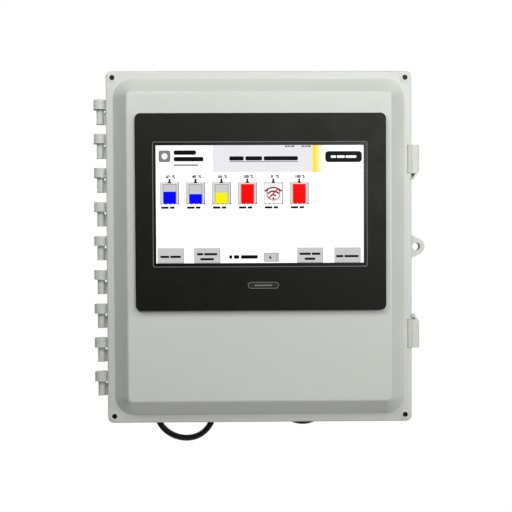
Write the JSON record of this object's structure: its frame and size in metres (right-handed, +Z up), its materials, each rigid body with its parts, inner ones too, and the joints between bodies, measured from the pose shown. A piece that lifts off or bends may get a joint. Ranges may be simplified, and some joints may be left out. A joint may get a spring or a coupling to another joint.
{
  "type": "operator touch panel in a wall enclosure",
  "caption": "Wall-mounted polycarbonate enclosure whose hinged raised cover carries a wide touch terminal; swing latches, padlock lug, DIN rail devices inside, jumper cord below.",
  "frame": {"origin": "centre of the wall bolt pattern, on the wall plane", "axes": "+Z up, +X to the right seen from the front, the front faces -Y"},
  "size_m": [0.3688, 0.2365, 0.4504],
  "materials": {
    "enclosure_plastic": "semi-gloss light grey polycarbonate",
    "latch_plastic": "semi-gloss light grey polycarbonate",
    "stainless": "satin",
    "brass": "plain",
    "black_screw": "black oxide",
    "foam": "closed-cell foam",
    "panel_steel": "white powder coat and zinc",
    "device_grey": "matte grey case",
    "device_dark": "matte dark case",
    "device_white": "matte light grey case",
    "toggle_black": "black",
    "bezel_black": "fine-grained black",
    "overlay_glass": "clear touch glass with a black printed border",
    "display": "lit white display",
    "circuit_board": "green solder mask",
    "housing_grey": "dark grey moulding",
    "connector_green": "green",
    "connector_metal": "plated",
    "badge_plate": "black with a thin grey rim",
    "gland_black": "black polyamide",
    "seal_rubber": "black",
    "cord_jacket": "black cord jacket"
  },
  "bodies": {
    "enclosure": {"enclosure_body": "enclosure_plastic", "body_padlock_lug": "enclosure_plastic", "mounting_feet": "stainless", "mounting_foot_screws": "stainless", "hinge_pins": "stainless", "corner_inserts": "brass", "back_panel": "panel_steel", "back_panel_screws": "stainless", "din_rail": "panel_steel", "din_rail_screws": "stainless", "power_supply": "device_grey", "controller": "device_dark", "circuit_breaker": "device_white", "breaker_pin": "stainless", "terminal_blocks": "device_white", "end_stops": "device_white", "left_gland_body": "gland_black", "left_gland_locknut": "gland_black", "left_gland_nut": "gland_black", "left_gland_seal": "seal_rubber", "right_gland_body": "gland_black", "right_gland_locknut": "gland_black", "right_gland_nut": "gland_black", "right_gland_seal": "seal_rubber", "spare_gland_body": "gland_black", "spare_gland_locknut": "gland_black", "spare_gland_cap": "gland_black", "jumper_cord": "cord_jacket"},
    "cover_assembly": {"cover": "enclosure_plastic", "cover_padlock_lug": "enclosure_plastic", "cover_gasket": "foam", "corner_screws": "black_screw", "upper_latch_pin": "stainless", "lower_latch_pin": "stainless", "hmi_bezel": "bezel_black", "touch_overlay": "overlay_glass", "lcd_module": "display", "hmi_gasket": "foam", "hmi_rear_housing": "housing_grey", "hmi_main_board": "circuit_board", "hmi_clamps": "housing_grey", "hmi_clamp_screws": "stainless", "hmi_power_connector": "connector_green", "hmi_network_ports": "connector_metal", "hmi_usb_port": "connector_metal", "hmi_serial_port": "connector_metal", "badge": "badge_plate"},
    "upper_latch_body": {"upper_latch": "latch_plastic"},
    "lower_latch_body": {"lower_latch": "latch_plastic"},
    "toggle": {"breaker_toggle": "toggle_black"}
  },
  "joints": [
    {"name": "cover_swing", "type": "hinge", "parent": "enclosure", "child": "cover_assembly", "pos_m": [-0.1771, -0.198, 0], "axis": [0, 0, -1], "range_deg": [0, 180]},
    {"name": "upper_latch_swing", "type": "hinge", "parent": "cover_assembly", "child": "upper_latch_body", "pos_m": [0.1669, -0.2072, 0.09668], "axis": [0, 0, -1], "range_deg": [0, 60]},
    {"name": "lower_latch_swing", "type": "hinge", "parent": "cover_assembly", "child": "lower_latch_body", "pos_m": [0.1669, -0.2072, -0.09668], "axis": [0, 0, -1], "range_deg": [0, 60]},
    {"name": "breaker_switch", "type": "hinge", "parent": "enclosure", "child": "toggle", "pos_m": [0.0428, -0.084, 0.035], "axis": [1, 0, 0], "range_deg": [0, 80]}
  ]
}
